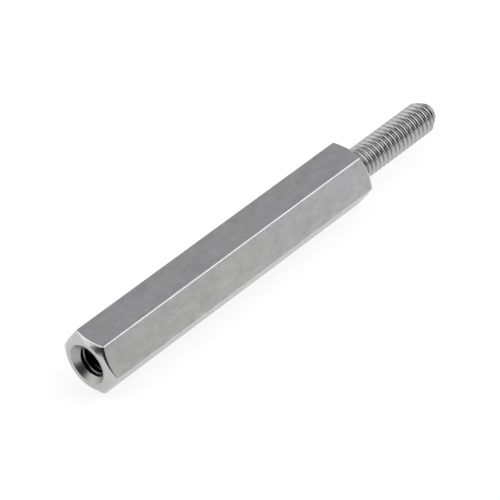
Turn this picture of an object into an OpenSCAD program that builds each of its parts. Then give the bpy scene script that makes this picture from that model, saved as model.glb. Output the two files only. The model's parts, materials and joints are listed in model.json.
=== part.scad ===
// Hex standoff: hexagon bar with a tapped hole in one end and a threaded stud turned on the other.
// It lies along X on one of its flats. The origin is the middle of the tapped end's face, and the
// stud points to +X. Both threads are drawn plain, the stud at its outside diameter and the hole
// at its drilled diameter.

/* [Hexagon] */
// Width of the hexagon bar across its flats
across_flats = 7; // [6:0.5:12]
// Length of the hexagon between the tapped end's face and the stud's shoulder
body_length = 43; // [20:1:80]
// Radius of the rounding along the hexagon's six edges
edge_radius = 0.2; // [0.05:0.05:0.6]
// How far inside the flats the tapped end's chamfer meets its face
chamfer_inset = 0.42; // [0.02:0.02:0.6]
// Angle of the tapped end's chamfer from its face
chamfer_angle = 30; // [15:5:60]
// How far inside the flats the shoulder's chamfer meets the shoulder
shoulder_inset = 0.54; // [0.02:0.02:0.8]
// Angle of the shoulder's chamfer from the shoulder
shoulder_angle = 30; // [15:5:60]

/* [Tapped hole] */
// Diameter that the hole is drilled to for its thread
hole_diameter = 3.3; // [2.5:0.1:4]
// Depth of the hole at its full diameter, from the end face
hole_depth = 12; // [4:0.5:16]
// Angle between the sides of the drill's point
drill_point_angle = 118; // [90:2:140]
// Width of the countersink's ring, from its outer edge to the hole
countersink_width = 0.85; // [0.2:0.05:1]
// Angle between the sides of the countersink
countersink_angle = 90; // [60:2:140]

/* [Stud] */
// Outside diameter of the stud's thread
stud_diameter = 4; // [2.5:0.1:5]
// Length of the stud from its shoulder to its tip
stud_length = 14; // [4:0.5:30]
// Length of the taper at the stud's tip
tip_length = 1.4; // [0.2:0.1:3]
// Depth of the taper at the stud's tip, below the outside of the thread
tip_drop = 0.85; // [0.1:0.05:1.1]

/* [Hidden] */
$fn = 96;

// Extra length by which a cut or the bar stock runs past a face
overrun = 1;
hexagon_sides = 6;
corner_step = 360 / hexagon_sides;
half_step = corner_step / 2;

corner_radius = across_flats / 2 / cos(half_step);
// The rounding's arc meets the flats at this small angle, so that it crosses them cleanly
rounding_crossing = 4;
rounding_centre = corner_radius - edge_radius * cos(rounding_crossing) / cos(half_step);
stock_radius = corner_radius + overrun;

end_face_radius = across_flats / 2 - chamfer_inset;
chamfer_depth = (stock_radius - end_face_radius) * tan(chamfer_angle);
shoulder_radius = across_flats / 2 - shoulder_inset;
shoulder_depth = (stock_radius - shoulder_radius) * tan(shoulder_angle);

hole_radius = hole_diameter / 2;
countersink_radius = hole_radius + countersink_width;
countersink_depth = countersink_width / tan(countersink_angle / 2);
countersink_overrun = overrun * tan(countersink_angle / 2);
drill_point_depth = hole_radius / tan(drill_point_angle / 2);

stud_radius = stud_diameter / 2;
tip_radius = stud_radius - tip_drop;
overall_length = body_length + stud_length;

// Point at a distance from the axis, in the direction of an angle
function at_angle(distance, angle) = distance * [cos(angle), sin(angle)];

// Lays a shape that stands on Z along X, with the shape's own X across and its Y upwards
module along_x() {
    rotate([90, 0, 90]) children();
}

// What the rounding takes off the hexagon's corner that lies on X
module corner_waste() {
    translate([rounding_centre, 0])
        difference() {
            polygon([
                [0, 0],
                at_angle(overrun, half_step),
                [2 * overrun, 0],
                at_angle(overrun, -half_step),
            ]);
            circle(r = edge_radius);
        }
}

// Section of the bar: a hexagon with two flats level and its corners rounded
module hexagon_section() {
    difference() {
        circle(r = corner_radius, $fn = hexagon_sides);
        for (i = [0 : hexagon_sides - 1])
            rotate(i * corner_step) corner_waste();
    }
}

// Hexagon bar stock, longer than the finished piece at both ends
module bar_stock() {
    translate([0, 0, -overrun])
        linear_extrude(height = overall_length + 2 * overrun) hexagon_section();
}

// Turned outline: end face, chamfer, the bar left as it is, chamfer, shoulder, stud and tip
module turned_outline() {
    rotate_extrude()
        polygon([
            [0, 0],
            [end_face_radius, 0],
            [stock_radius, chamfer_depth],
            [stock_radius, body_length - shoulder_depth],
            [shoulder_radius, body_length],
            [stud_radius, body_length],
            [stud_radius, overall_length - tip_length],
            [tip_radius, overall_length],
            [0, overall_length],
        ]);
}

// Blind tapped hole: countersink, drilled wall and the drill's point
module tapped_hole() {
    rotate_extrude()
        polygon([
            [0, -overrun],
            [countersink_radius + countersink_overrun, -overrun],
            [hole_radius, countersink_depth],
            [hole_radius, hole_depth],
            [0, hole_depth + drill_point_depth],
        ]);
}

module standoff() {
    color("silver")
        along_x()
            difference() {
                intersection() {
                    bar_stock();
                    turned_outline();
                }
                tapped_hole();
            }
}

standoff();
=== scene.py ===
import json
import math

import bmesh
import bpy
from mathutils import Matrix, Vector


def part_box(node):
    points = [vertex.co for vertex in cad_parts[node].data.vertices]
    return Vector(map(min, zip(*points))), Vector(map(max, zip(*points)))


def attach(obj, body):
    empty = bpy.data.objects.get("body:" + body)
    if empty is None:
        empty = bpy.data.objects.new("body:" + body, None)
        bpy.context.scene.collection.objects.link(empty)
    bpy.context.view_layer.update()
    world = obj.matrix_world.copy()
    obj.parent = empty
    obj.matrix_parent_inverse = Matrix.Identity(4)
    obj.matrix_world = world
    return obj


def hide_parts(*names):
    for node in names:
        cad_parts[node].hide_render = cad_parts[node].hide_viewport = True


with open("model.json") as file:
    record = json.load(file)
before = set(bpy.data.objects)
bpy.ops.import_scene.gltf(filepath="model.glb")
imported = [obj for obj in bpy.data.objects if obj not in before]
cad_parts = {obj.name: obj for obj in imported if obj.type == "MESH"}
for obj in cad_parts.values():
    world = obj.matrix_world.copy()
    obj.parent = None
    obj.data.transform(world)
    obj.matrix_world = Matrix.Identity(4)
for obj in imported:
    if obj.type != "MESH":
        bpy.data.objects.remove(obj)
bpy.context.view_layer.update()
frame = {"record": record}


# The hexagon bar
# The body is a length of cold-drawn steel hexagon bar, zinc plated after turning. Its long edges
# keep the small rounding of the drawing die, and a turned cone at each end cuts them into scallops.
MM = 0.001
SIDES = 6
mounts = {mount["name"]: mount for mount in frame["record"]["mounts"]}
bar_low, bar_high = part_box("standoff")
across_flats = bar_high.z - bar_low.z
body_length = mounts["shoulder"]["pos_m"][0]
edge_rounding = 0.2 * MM
face_inset = 0.42 * MM
shoulder_inset = 0.54 * MM
face_radius = across_flats / 2 - face_inset
shoulder_radius = across_flats / 2 - shoulder_inset
chamfer_angle = math.radians(30)
face_blend = 0.06 * MM
scallop_blend = 0.42 * MM
corner_steps = 8
flat_steps = 20
blend_steps = 6

plate_cool = (0.622, 0.62, 0.642, 1)
plate_warm = (0.65, 0.65, 0.632, 1)
plate_shade = (0.82, 1.18)
plate_roughness = (0.285, 0.32)
plate_relief = 0.005 * MM
line_fineness = 2600
line_stretch = (0.02, 1, 1)
line_limits = (0.2, 0.8)
line_relief_share = 0.1
cloud_fineness = 230
cloud_limits = (0.3, 0.7)
patch_fineness = 1000
patch_fine_share = 0.75
patch_limits = (0.2, 0.8)
plate_stretch = (0.6, 1, 1)


def bar_section():
    """Angle and distance from the axis of each point round the bar's rounded hexagon."""
    step = math.tau / SIDES
    corner_radius = across_flats / 2 / math.cos(step / 2)
    centre_radius = corner_radius - edge_rounding / math.cos(step / 2)
    corner_points = []
    for index in range(corner_steps + 1):
        facing = step * (index / corner_steps - 0.5)
        across = centre_radius + edge_rounding * math.cos(facing)
        along = edge_rounding * math.sin(facing)
        corner_points.append((math.atan2(along, across), math.hypot(along, across)))
    corner_half = corner_points[-1][0]
    flat_points = []
    for index in range(1, flat_steps):
        angle = corner_half + (step - 2 * corner_half) * index / flat_steps
        flat_points.append((angle, across_flats / 2 / math.cos(angle - step / 2)))
    return [
        (side * step + angle, radius)
        for side in range(SIDES)
        for angle, radius in corner_points + flat_points
    ]


def blend_points(depth, radius, start_angle, end_angle, blend):
    """Points of an arc that turns from one direction to another, as (depth from the end, radius)."""
    points = []
    for index in range(blend_steps + 1):
        angle = start_angle + (end_angle - start_angle) * index / blend_steps
        points.append((
            depth + blend * (math.sin(start_angle) - math.sin(angle)),
            radius + blend * (math.cos(angle) - math.cos(start_angle)),
        ))
    return points


def end_profile(flank_radius, end_radius):
    """From a flat end face over its chamfer to the flank, as (depth from the end, radius)."""
    outwards = math.pi / 2
    up_the_cone = outwards - chamfer_angle
    face_reach = face_blend * math.tan(chamfer_angle / 2)
    scallop_reach = scallop_blend * math.tan(up_the_cone / 2)
    cone_depth = (flank_radius - end_radius) * math.tan(chamfer_angle)
    cone_end_depth = cone_depth - scallop_reach * math.sin(chamfer_angle)
    cone_end_radius = flank_radius - scallop_reach * math.cos(chamfer_angle)
    return (
        blend_points(0, end_radius - face_reach, outwards, up_the_cone, face_blend)
        + blend_points(cone_end_depth, cone_end_radius, up_the_cone, 0, scallop_blend)
    )


def place(depth, radius, angle):
    """Point at a distance along the standoff's axis, a radius and an angle from +Y towards +Z."""
    return Vector((depth, radius * math.cos(angle), radius * math.sin(angle)))


def bar_mesh():
    """Chamfers and flanks of the bar, open at both end faces."""
    mesh = bmesh.new()
    columns = []
    for angle, flank_radius in bar_section():
        front = end_profile(flank_radius, face_radius)
        back = end_profile(flank_radius, shoulder_radius)
        column = [place(depth, radius, angle) for depth, radius in front]
        column += [place(body_length - depth, radius, angle) for depth, radius in reversed(back)]
        columns.append([mesh.verts.new(point) for point in column])
    for here, there in zip(columns, columns[1:] + columns[:1]):
        for index in range(len(here) - 1):
            mesh.faces.new((here[index], there[index], there[index + 1], here[index + 1]))
    return mesh


def add_node(tree, kind, inputs, **settings):
    """Adds a node with its settings, and gives each input a value or a link."""
    made = tree.nodes.new(kind)
    for name, value in settings.items():
        setattr(made, name, value)
    for key, value in inputs.items():
        if isinstance(value, bpy.types.NodeSocket):
            tree.links.new(value, made.inputs[key])
        else:
            made.inputs[key].default_value = value
    return made


def work_out(tree, operation, *values):
    """One step of arithmetic on numbers and sockets."""
    inputs = dict(enumerate(values))
    return add_node(tree, "ShaderNodeMath", inputs, operation=operation).outputs[0]


def plated_steel(name):
    """A metal shader with nothing set but its plating, and its node tree."""
    material = bpy.data.materials.new(name)
    material.use_nodes = True
    tree = material.node_tree
    shader = tree.nodes["Principled BSDF"]
    shader.inputs["Metallic"].default_value = 1
    return material, tree, shader


def noise(tree, where, fineness, detail, stretch=(1, 1, 1), fine_share=0.5):
    """Noise of a fineness per metre, stretched along the axes, with values from 0 to 1."""
    spread = add_node(tree, "ShaderNodeMapping", {"Vector": where, "Scale": stretch}).outputs["Vector"]
    return add_node(tree, "ShaderNodeTexNoise", {
        "Vector": spread, "Scale": fineness, "Detail": detail, "Roughness": fine_share,
    }).outputs["Fac"]


def between(tree, value, low, high, to_low, to_high):
    """Maps the part of a value between two limits to a range, and holds it there beyond them."""
    return add_node(tree, "ShaderNodeMapRange", {
        "Value": value, "From Min": low, "From Max": high, "To Min": to_low, "To Max": to_high,
    }).outputs["Result"]


def blend_colours(tree, share, first, second):
    """Colour between two others."""
    return add_node(
        tree, "ShaderNodeMix", {"Factor": share, "A": first, "B": second}, data_type="RGBA"
    ).outputs["Result"]


def raise_surface(tree, shader, height, reach):
    """Lets a value from 0 to 1 stand up to a distance proud of the surface, as bump."""
    bump = add_node(tree, "ShaderNodeBump", {"Height": height, "Distance": reach, "Strength": 1})
    tree.links.new(bump.outputs["Normal"], shader.inputs["Normal"])


def drawn_plate():
    """Satin zinc plate over drawn flats: faint lines along the bar and cloudy patches of plate."""
    material, tree, shader = plated_steel("drawn_plate")
    where = add_node(tree, "ShaderNodeTexCoord", {}).outputs["Object"]
    lines = noise(tree, where, line_fineness, 1, stretch=line_stretch)
    clouds = noise(tree, where, cloud_fineness, 1, stretch=plate_stretch)
    patches = noise(tree, where, patch_fineness, 4, stretch=plate_stretch, fine_share=patch_fine_share)
    tint = blend_colours(tree, between(tree, clouds, *cloud_limits, 0, 1), plate_cool, plate_warm)
    shade = between(tree, patches, *patch_limits, *plate_shade)
    shaded = add_node(tree, "ShaderNodeVectorMath", {0: tint, "Scale": shade}, operation="SCALE")
    tree.links.new(shaded.outputs["Vector"], shader.inputs["Base Color"])
    roughness = between(tree, lines, *line_limits, *plate_roughness)
    tree.links.new(roughness, shader.inputs["Roughness"])
    relief = work_out(tree, "MULTIPLY_ADD", lines, line_relief_share, clouds)
    raise_surface(tree, shader, relief, plate_relief)
    return material


drawn = drawn_plate()
bar = bar_mesh()


# The threads
# Both threads are M4 x 0.7, right-hand, with straight flanks between narrow crests and roots. The
# stud's is on its outside and runs out at its tip, and the hole's is cut into the drilled wall by a tap.
thread_pitch = 0.7 * MM
thread_around = 128
rows_per_pitch = 16
weld_reach = 0.001 * MM


def thread_tree():
    """Geometry Nodes that wind a thread along +X: a grid whose rows follow the helix."""
    tree = bpy.data.node_groups.new("right_hand_thread", "GeometryNodeTree")
    made = tree.interface.new_socket("Thread", in_out="OUTPUT", socket_type="NodeSocketGeometry")
    for name in ("Start", "End", "Pitch", "Turn Offset", "Crest Radius", "Root Radius", "Crest Share",
                 "Root Share", "Cone Place", "Cone Radius", "Cone Slope", "Run Out", "Plain End"):
        tree.interface.new_socket(name, in_out="INPUT", socket_type="NodeSocketFloat")
    for name in ("Around", "Rows per Pitch"):
        tree.interface.new_socket(name, in_out="INPUT", socket_type="NodeSocketInt")
    tree.interface.new_socket("Inside", in_out="INPUT", socket_type="NodeSocketBool")
    tree.interface.new_socket("Finish", in_out="INPUT", socket_type="NodeSocketMaterial")
    sizes = tree.nodes.new("NodeGroupInput").outputs

    def math_node(operation, *values):
        return work_out(tree, operation, *values)

    # A grid one unit wide for the way round, and one unit long for each turn
    length = math_node("SUBTRACT", sizes["End"], sizes["Start"])
    turns = math_node("ADD", math_node("CEIL", math_node("DIVIDE", length, sizes["Pitch"])), 1)
    rows = math_node("ADD", math_node("MULTIPLY", turns, sizes["Rows per Pitch"]), 1)
    columns = math_node("ADD", sizes["Around"], 1)
    grid = add_node(
        tree, "GeometryNodeMeshGrid",
        {"Size X": 1.0, "Size Y": turns, "Vertices X": columns, "Vertices Y": rows},
    ).outputs["Mesh"]
    where = tree.nodes.new("GeometryNodeInputPosition").outputs["Position"]
    where = add_node(tree, "ShaderNodeSeparateXYZ", {"Vector": where}).outputs
    share_round = math_node("ADD", where["X"], 0.5)
    turn = math_node("ADD", where["Y"], math_node("DIVIDE", turns, 2))

    # Place along the axis, held between the thread's two ends
    advance = math_node("SUBTRACT", math_node("ADD", turn, share_round), 1)
    along = math_node("MULTIPLY_ADD", advance, sizes["Pitch"], sizes["Start"])
    along = math_node("MINIMUM", math_node("MAXIMUM", along, sizes["Start"]), sizes["End"])

    # Depth in the profile: 0 on a crest and 1 in a root, with straight flanks between
    passed = math_node("DIVIDE", math_node("SUBTRACT", along, sizes["Start"]), sizes["Pitch"])
    phase = math_node("ADD", math_node("SUBTRACT", passed, share_round), sizes["Turn Offset"])
    phase = math_node("SUBTRACT", phase, math_node("FLOOR", phase))
    off_crest = math_node("MULTIPLY", math_node("ABSOLUTE", math_node("SUBTRACT", phase, 0.5)), 2)
    root_edge = math_node("SUBTRACT", 1, sizes["Root Share"])
    sunk = add_node(
        tree, "ShaderNodeMapRange",
        {"Value": off_crest, "From Min": sizes["Crest Share"], "From Max": root_edge},
    ).outputs["Result"]

    # The groove grows shallow over the run-out, and leaves a plain end
    groove_end = math_node("SUBTRACT", sizes["End"], sizes["Plain End"])
    left = math_node("DIVIDE", math_node("SUBTRACT", groove_end, along), sizes["Run Out"])
    sunk = math_node("MULTIPLY", sunk, math_node("MAXIMUM", math_node("MINIMUM", left, 1), 0))
    depth = math_node("SUBTRACT", sizes["Root Radius"], sizes["Crest Radius"])

    # A stud's crests follow the cone of its tip, and a hole's thread ends at the cone of its countersink
    from_cone = math_node("ABSOLUTE", math_node("SUBTRACT", along, sizes["Cone Place"]))
    cone = math_node("MULTIPLY_ADD", from_cone, sizes["Cone Slope"], sizes["Cone Radius"])
    crest_here = math_node("MINIMUM", sizes["Crest Radius"], cone)
    stud_radius_here = math_node("MULTIPLY_ADD", sunk, depth, crest_here)
    thread_radius_here = math_node("MULTIPLY_ADD", sunk, depth, sizes["Crest Radius"])
    hole_radius_here = math_node("MAXIMUM", thread_radius_here, cone)
    radius = add_node(
        tree, "GeometryNodeSwitch",
        {"Switch": sizes["Inside"], "False": stud_radius_here, "True": hole_radius_here},
        input_type="FLOAT",
    ).outputs["Output"]

    angle = math_node("MULTIPLY", share_round, math.tau)
    placed = add_node(tree, "ShaderNodeCombineXYZ", {
        "X": along,
        "Y": math_node("MULTIPLY", radius, math_node("COSINE", angle)),
        "Z": math_node("MULTIPLY", radius, math_node("SINE", angle)),
    }).outputs["Vector"]
    wound = add_node(tree, "GeometryNodeSetPosition", {"Geometry": grid, "Position": placed})
    welded = add_node(
        tree, "GeometryNodeMergeByDistance",
        {"Geometry": wound.outputs["Geometry"], "Distance": weld_reach},
    )
    real = add_node(tree, "GeometryNodeRealizeInstances", {"Geometry": welded.outputs["Geometry"]})
    finished = add_node(
        tree, "GeometryNodeSetMaterial",
        {"Geometry": real.outputs["Geometry"], "Material": sizes["Finish"]},
    )
    result = tree.nodes.new("NodeGroupOutput")
    tree.links.new(finished.outputs["Geometry"], result.inputs[made.name])
    return tree


def wind_thread(tree, sizes):
    """Plain mesh of one thread, made by the tree with these sizes."""
    holder = bpy.data.objects.new("thread_holder", bpy.data.meshes.new("thread_holder"))
    bpy.context.scene.collection.objects.link(holder)
    modifier = holder.modifiers.new("thread", "NODES")
    modifier.node_group = tree
    for socket in tree.interface.items_tree:
        if socket.in_out == "INPUT":
            modifier[socket.identifier] = sizes[socket.name]
    made = holder.evaluated_get(bpy.context.evaluated_depsgraph_get())
    mesh = bpy.data.meshes.new_from_object(made)
    bpy.data.objects.remove(holder)
    return mesh


winding = thread_tree()


# The stud
# The stud is turned down from the bar in one piece with it, threaded up to the shoulder and tapered
# at its tip, so that a nut finds its start.
stud_radius = mounts["stud"]["dims"]["r_mm"] * MM
stud_tip = bar_high.x
tip_radius = 1.15 * MM
tip_slope = 0.61
tip_rounding = 0.05 * MM
thread_depth = 0.37 * MM
crest_share = 0.22
root_share = 0.12
thread_run_out = 0.5 * MM
thread_plain_end = 0.3 * MM
stud_turn_offset = -0.064

# Painted shade: the thread's roots are coloured darker than its flanks and crests, for the shade in the
# grooves.
root_shade_colour = (0.33, 0.33, 0.33, 1)
flank_colour = (0.52, 0.52, 0.523, 1)
crest_colour = (0.58, 0.58, 0.578, 1)
flank_drop = 0.2 * MM
crest_drop = 0.05 * MM
thread_roughness = (0.16, 0.26)
thread_relief = 0.06 * MM
grain_fineness = 900
grain_stretch = (1.5, 1, 1)
grain_limits = (0.3, 0.7)


def off_axis(tree, where):
    """Distance from the standoff's axis."""
    parts = add_node(tree, "ShaderNodeSeparateXYZ", {"Vector": where}).outputs
    height_squared = work_out(tree, "MULTIPLY", parts["Z"], parts["Z"])
    return work_out(tree, "SQRT", work_out(tree, "MULTIPLY_ADD", parts["Y"], parts["Y"], height_squared))


def threaded_plate():
    """Zinc plate on the stud's thread, grainy, with painted shade that darkens the roots below the
    flanks and crests.
    """
    material, tree, shader = plated_steel("threaded_plate")
    where = add_node(tree, "ShaderNodeTexCoord", {}).outputs["Object"]
    height = off_axis(tree, where)
    out_of_root_shade = between(tree, height, stud_radius - thread_depth, stud_radius - flank_drop, 0, 1)
    to_crest = between(tree, height, stud_radius - crest_drop, stud_radius, 0, 1)
    shaded_flank = blend_colours(tree, out_of_root_shade, root_shade_colour, flank_colour)
    tree.links.new(blend_colours(tree, to_crest, shaded_flank, crest_colour), shader.inputs["Base Color"])
    grain = noise(tree, where, grain_fineness, 4, stretch=grain_stretch)
    roughness = between(tree, grain, *grain_limits, *thread_roughness)
    tree.links.new(roughness, shader.inputs["Roughness"])
    raise_surface(tree, shader, grain, thread_relief)
    return material


threaded = threaded_plate()
stud_mesh = wind_thread(winding, {
    "Start": body_length,
    "End": stud_tip - tip_rounding,
    "Pitch": thread_pitch,
    "Turn Offset": stud_turn_offset,
    "Crest Radius": stud_radius,
    "Root Radius": stud_radius - thread_depth,
    "Crest Share": crest_share,
    "Root Share": root_share,
    "Cone Place": stud_tip,
    "Cone Radius": tip_radius,
    "Cone Slope": tip_slope,
    "Run Out": thread_run_out,
    "Plain End": thread_plain_end,
    "Around": thread_around,
    "Rows per Pitch": rows_per_pitch,
    "Inside": False,
    "Finish": threaded,
})


# The tapped hole
# The hole is drilled blind into the other end, countersunk to a wide mouth and tapped. Its wall is
# painted dark as shade: grey on the first crests, near black further in and in the roots.
hole_radius = mounts["tapped_hole"]["dims"]["r_mm"] * MM
hole_depth = 12 * MM
drill_point_angle = math.radians(118)
drill_end = hole_depth + hole_radius / math.tan(drill_point_angle / 2)
countersink_radius = 2.5 * MM
countersink_slope = -1.0
mouth_break = 0.03 * MM
tapped_depth = 0.38 * MM
tapped_crest_share = 0.2
tapped_root_share = 0.06
tapped_run_out = 2 * MM
hole_turn_offset = 0.6

face_cool = (0.57, 0.575, 0.58, 1)
face_warm = (0.61, 0.61, 0.60, 1)
face_roughness = (0.11, 0.18)
# Painted shade: the countersink's plate is coloured darker than the end face's, for the shade in the
# hole's mouth.
shaded_cone_cool = (0.42, 0.42, 0.413, 1)
shaded_cone_warm = (0.48, 0.48, 0.455, 1)
cone_roughness = (0.29, 0.36)
ring_fineness = 9000
ring_limits = (0.25, 0.75)
ring_relief = 0.0015 * MM
bloom_fineness = 700
# Painted shade in the hole: the wall's colour falls from grey on the mouth's crests to near black deep
# in and in the roots.
shaded_crest_colour = (0.3, 0.3, 0.29, 1)
deep_shade_colour = (0.012, 0.012, 0.012, 1)
shade_start_depth = 1.3 * MM
full_shade_depth = 1.9 * MM
shade_start_height = 0.06 * MM
full_shade_height = 0.14 * MM
wall_roughness = (0.3, 0.45)
stain_fineness = 900
stain_limits = (0.3, 0.7)


def turned_plate(name, cool, warm, roughness_range):
    """Zinc plate over a turned face, with the tool's fine rings round the axis."""
    material, tree, shader = plated_steel(name)
    where = add_node(tree, "ShaderNodeTexCoord", {}).outputs["Object"]
    rings = add_node(
        tree, "ShaderNodeTexNoise",
        {"W": off_axis(tree, where), "Scale": ring_fineness, "Detail": 2}, noise_dimensions="1D",
    ).outputs["Fac"]
    bloom = noise(tree, where, bloom_fineness, 3)
    tree.links.new(blend_colours(tree, bloom, cool, warm), shader.inputs["Base Color"])
    roughness = between(tree, rings, *ring_limits, *roughness_range)
    tree.links.new(roughness, shader.inputs["Roughness"])
    raise_surface(tree, shader, rings, ring_relief)
    return material


def tapped_wall():
    """Steel in the tapped hole with painted shade: grey on the first crests, near black further in and
    in the roots.
    """
    material, tree, shader = plated_steel("tapped_wall")
    where = add_node(tree, "ShaderNodeTexCoord", {}).outputs["Object"]
    stains = noise(tree, where, stain_fineness, 3)
    depth = add_node(tree, "ShaderNodeSeparateXYZ", {"Vector": where}).outputs["X"]
    depth_shade = between(tree, depth, shade_start_depth, full_shade_depth, 0, 1)
    height = off_axis(tree, where)
    hole_root_shade = between(tree, height, hole_radius + shade_start_height, hole_radius + full_shade_height, 0, 1)
    # Painted shade: the darker of the shade with depth into the hole and the shade in the thread's
    # roots.
    hole_shade = work_out(tree, "MAXIMUM", depth_shade, hole_root_shade)
    tree.links.new(blend_colours(tree, hole_shade, shaded_crest_colour, deep_shade_colour), shader.inputs["Base Color"])
    roughness = between(tree, stains, *stain_limits, *wall_roughness)
    tree.links.new(roughness, shader.inputs["Roughness"])
    return material


turned = turned_plate("turned_plate", face_cool, face_warm, face_roughness)
countersunk = turned_plate("countersunk_plate", shaded_cone_cool, shaded_cone_warm, cone_roughness)
tapped = tapped_wall()
hole_mesh = wind_thread(winding, {
    "Start": mouth_break,
    "End": hole_depth,
    "Pitch": thread_pitch,
    "Turn Offset": hole_turn_offset,
    "Crest Radius": hole_radius,
    "Root Radius": hole_radius + tapped_depth,
    "Crest Share": tapped_crest_share,
    "Root Share": tapped_root_share,
    "Cone Place": 0.0,
    "Cone Radius": countersink_radius,
    "Cone Slope": countersink_slope,
    "Run Out": tapped_run_out,
    "Plain End": 0.0,
    "Around": thread_around,
    "Rows per Pitch": rows_per_pitch,
    "Inside": True,
    "Finish": tapped,
})


# The standoff in one piece
# Bar, stud and hole are one piece of metal, so their meshes are joined into one closed skin: the
# end faces, the stud's tip and the drill's point close what the sweeps above left open.
finishes = [drawn, turned, countersunk, threaded, tapped]
ring_tolerance = 0.002 * MM
cone_tolerance = 0.02 * MM
face_tolerance = 0.01 * MM
shoulder_clearance = 0.1 * MM
least_turned_tilt = 0.2
drill_point_radius = 0.001 * MM
collapsed_edge = 0.0001 * MM
sharp_angle = math.radians(60)
largest_normal_weight = 100


def open_ring(mesh, depth):
    """Open edges of the mesh that lie at a distance along the axis."""
    return [
        edge for edge in mesh.edges
        if edge.is_boundary and all(abs(vert.co.x - depth) < ring_tolerance for vert in edge.verts)
    ]


def step_ring(mesh, depth, new_depth, change):
    """Carries an open ring on to a new distance along the axis, with its radius changed."""
    grown = bmesh.ops.extrude_edge_only(mesh, edges=open_ring(mesh, depth))["geom"]
    for vert in grown:
        if isinstance(vert, bmesh.types.BMVert):
            radius = math.hypot(vert.co.y, vert.co.z)
            scale = (radius + change) / radius
            vert.co = (new_depth, vert.co.y * scale, vert.co.z * scale)


def add_mesh(mesh, part, finish):
    """Adds a part to the mesh, and gives its faces a finish."""
    before = len(mesh.faces)
    mesh.from_mesh(part)
    mesh.faces.ensure_lookup_table()
    for face in mesh.faces[before:]:
        face.material_index = finishes.index(finish)


def is_turned(face):
    """Whether a face is on a chamfer, an end face of the bar or the taper of the stud's tip."""
    middle = face.calc_center_median()
    radius = math.hypot(middle.y, middle.z)
    taper_here = tip_radius + tip_slope * (stud_tip - middle.x)
    on_bar = radius > stud_radius and middle.x < body_length + face_tolerance
    on_tip = radius > taper_here - cone_tolerance and middle.x > body_length + shoulder_clearance
    return abs(face.normal.x) > least_turned_tilt and (on_bar or on_tip)


def is_countersunk(face):
    """Whether a face is on the countersink."""
    middle = face.calc_center_median()
    cone_here = countersink_radius + countersink_slope * middle.x
    off_cone = abs(math.hypot(middle.y, middle.z) - cone_here)
    return off_cone < cone_tolerance and middle.x > face_tolerance


standoff = bar
add_mesh(standoff, hole_mesh, tapped)
add_mesh(standoff, stud_mesh, threaded)
step_ring(standoff, mouth_break, 0, mouth_break)
step_ring(standoff, stud_tip - tip_rounding, stud_tip, -tip_rounding)
step_ring(standoff, hole_depth, drill_end, drill_point_radius - hole_radius)
for flat_depth in (0, body_length, stud_tip, drill_end):
    bmesh.ops.triangle_fill(standoff, use_beauty=True, edges=open_ring(standoff, flat_depth))
bmesh.ops.dissolve_degenerate(standoff, dist=collapsed_edge, edges=standoff.edges)
bmesh.ops.recalc_face_normals(standoff, faces=standoff.faces)
for face in standoff.faces:
    face.smooth = True
    if is_countersunk(face):
        face.material_index = finishes.index(countersunk)
    elif is_turned(face):
        face.material_index = finishes.index(turned)
for edge in standoff.edges:
    edge.smooth = edge.calc_face_angle(0) < sharp_angle
skin = bpy.data.meshes.new("hex_standoff")
standoff.to_mesh(skin)
for finish in finishes:
    skin.materials.append(finish)
piece = bpy.data.objects.new("hex_standoff", skin)
bpy.context.scene.collection.objects.link(piece)
even_normals = piece.modifiers.new("even_normals", "WEIGHTED_NORMAL")
even_normals.weight = largest_normal_weight
even_normals.keep_sharp = True
shaded = piece.evaluated_get(bpy.context.evaluated_depsgraph_get())
piece.data = bpy.data.meshes.new_from_object(shaded)
piece.modifiers.clear()
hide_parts("standoff")
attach(piece, "root")


# The floor and the light
# A white sheet in a grey room: one large softbox to the right, two smaller ones behind to the left,
# and a dark wall on the side where the camera stands.
floor_reach = 2.0
floor_colour = (0.35, 0.35, 0.35, 1)
floor_glow = 0.8
mirrored_glow = 0.65
# Painted shade on the floor as the metal mirrors it: its glow fades down to this far behind the
# standoff.
far_shaded_glow = 0.3
far_side = (0.707, 0.707, 0)
fade_start = 50 * MM
fade_end = 90 * MM
wall_grey = 0.46
ceiling_grey = 0.31
wall_tint = (1, 1, 0.97, 1)
ceiling_tint = (0.96, 0.955, 1.02, 1)
backdrop_white = (1, 1, 1, 1)
dark_side = (-0.754, -0.633, 0.174)
dark_rim = 0.53
dark_core = 0.669
dark_share = 0.09
lamp_distance = 0.6

floor_corners = ((-1, -1), (1, -1), (1, 1), (-1, 1))
floor_mesh = bpy.data.meshes.new("floor")
floor_mesh.from_pydata(
    [(x * floor_reach, y * floor_reach, bar_low.z) for x, y in floor_corners], [], [(0, 1, 2, 3)]
)
floor = bpy.data.objects.new("floor", floor_mesh)
bpy.context.scene.collection.objects.link(floor)


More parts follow.
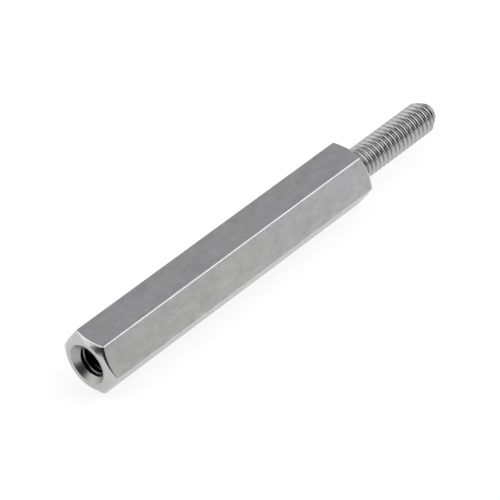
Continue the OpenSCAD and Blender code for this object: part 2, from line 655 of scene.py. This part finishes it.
def floor_finish():
    """White paper that takes the shadow and shows white to the camera.

    The metal mirrors it a little darker, and darker still where it lies far behind the standoff, as
    painted shade.
    """
    material = bpy.data.materials.new("floor_paper")
    material.use_nodes = True
    tree = material.node_tree
    tree.nodes.clear()
    paper = add_node(tree, "ShaderNodeBsdfDiffuse", {"Color": floor_colour})
    rays = tree.nodes.new("ShaderNodeLightPath").outputs
    mirrored = work_out(tree, "MAXIMUM", rays["Is Glossy Ray"], rays["Is Transmission Ray"])
    where = add_node(tree, "ShaderNodeTexCoord", {}).outputs["Object"]
    away = add_node(
        tree, "ShaderNodeVectorMath", {0: where, 1: far_side}, operation="DOT_PRODUCT"
    ).outputs["Value"]
    # Painted shade: the mirrored glow fades between these distances behind the standoff.
    mirrored_glow_with_shade = between(tree, away, fade_start, fade_end, mirrored_glow, far_shaded_glow)
    mirrored = work_out(tree, "MULTIPLY", mirrored, mirrored_glow_with_shade)
    shown = work_out(tree, "MULTIPLY_ADD", rays["Is Camera Ray"], floor_glow, mirrored)
    glow = add_node(tree, "ShaderNodeEmission", {"Strength": shown})
    both = add_node(tree, "ShaderNodeAddShader", {0: paper.outputs[0], 1: glow.outputs[0]})
    add_node(tree, "ShaderNodeOutputMaterial", {"Surface": both.outputs[0]})
    return material


floor_mesh.materials.append(floor_finish())


def grey_room():
    """A room with light walls, a darker and cooler ceiling and one dark wall, white to the camera."""
    world = bpy.data.worlds.new("grey_room")
    world.use_nodes = True
    tree = world.node_tree
    towards = add_node(tree, "ShaderNodeTexCoord", {}).outputs["Generated"]
    height = add_node(tree, "ShaderNodeSeparateXYZ", {"Vector": towards}).outputs["Z"]
    grey = between(tree, height, 0, 1, wall_grey, ceiling_grey)
    to_dark = add_node(
        tree, "ShaderNodeVectorMath", {0: towards, 1: dark_side}, operation="DOT_PRODUCT"
    ).outputs["Value"]
    lit = between(tree, to_dark, dark_rim, dark_core, 1, dark_share)
    seen = tree.nodes.new("ShaderNodeLightPath").outputs["Is Camera Ray"]
    strength = work_out(tree, "MAXIMUM", work_out(tree, "MULTIPLY", grey, lit), seen)
    tint = blend_colours(tree, height, wall_tint, ceiling_tint)
    shown = blend_colours(tree, seen, tint, backdrop_white)
    tree.links.new(strength, tree.nodes["Background"].inputs["Strength"])
    tree.links.new(shown, tree.nodes["Background"].inputs["Color"])
    return world


def softbox(name, azimuth, elevation, width, height, radiance):
    """A rectangular lamp that faces the standoff's middle, at an azimuth from +X towards +Y."""
    lamp = bpy.data.lights.new(name, "AREA")
    lamp.shape = "RECTANGLE"
    lamp.size = width
    lamp.size_y = height
    lamp.energy = radiance * math.pi * width * height
    holder = bpy.data.objects.new(name, lamp)
    level = math.cos(math.radians(elevation))
    towards = Vector((
        level * math.cos(math.radians(azimuth)),
        level * math.sin(math.radians(azimuth)),
        math.sin(math.radians(elevation)),
    ))
    holder.location = Vector((body_length / 2, 0, 0)) + towards * lamp_distance
    holder.rotation_euler = towards.to_track_quat("Z", "Y").to_euler()
    bpy.context.scene.collection.objects.link(holder)


bpy.context.scene.world = grey_room()
softbox("softbox_right", azimuth=-27, elevation=46, width=0.68, height=0.82, radiance=1.2)
softbox("softbox_left", azimuth=122, elevation=22, width=0.92, height=0.45, radiance=0.68)
softbox("softbox_above", azimuth=115, elevation=60, width=0.31, height=0.39, radiance=1.2)


# The camera
# It looks down on the tapped end from the left, from about 0.36 m away, with a long lens.
view_azimuth = math.radians(-47.583)
view_elevation = math.radians(42.647)
view_distance = 357.02 * MM
view_centre = Vector((21.55, 0, 0)) * MM
view_right = 3.024 * MM
view_up = 1.577 * MM
back = Vector((
    math.sin(view_azimuth) * math.cos(view_elevation),
    -math.cos(view_azimuth) * math.cos(view_elevation),
    math.sin(view_elevation),
))
right = Vector((math.cos(view_azimuth), math.sin(view_azimuth), 0))
up = back.cross(right)
camera_data = bpy.data.cameras.new("camera")
camera_data.lens = 231.12
camera_data.sensor_width = 36
camera_data.clip_start = 10 * MM
camera = bpy.data.objects.new("camera", camera_data)
camera.matrix_world = Matrix.Translation(
    view_centre + back * view_distance + right * view_right + up * view_up
) @ Matrix((right, up, back)).transposed().to_4x4()
bpy.context.scene.collection.objects.link(camera)
bpy.context.scene.camera = camera
bpy.context.scene.view_settings.view_transform = "Standard"
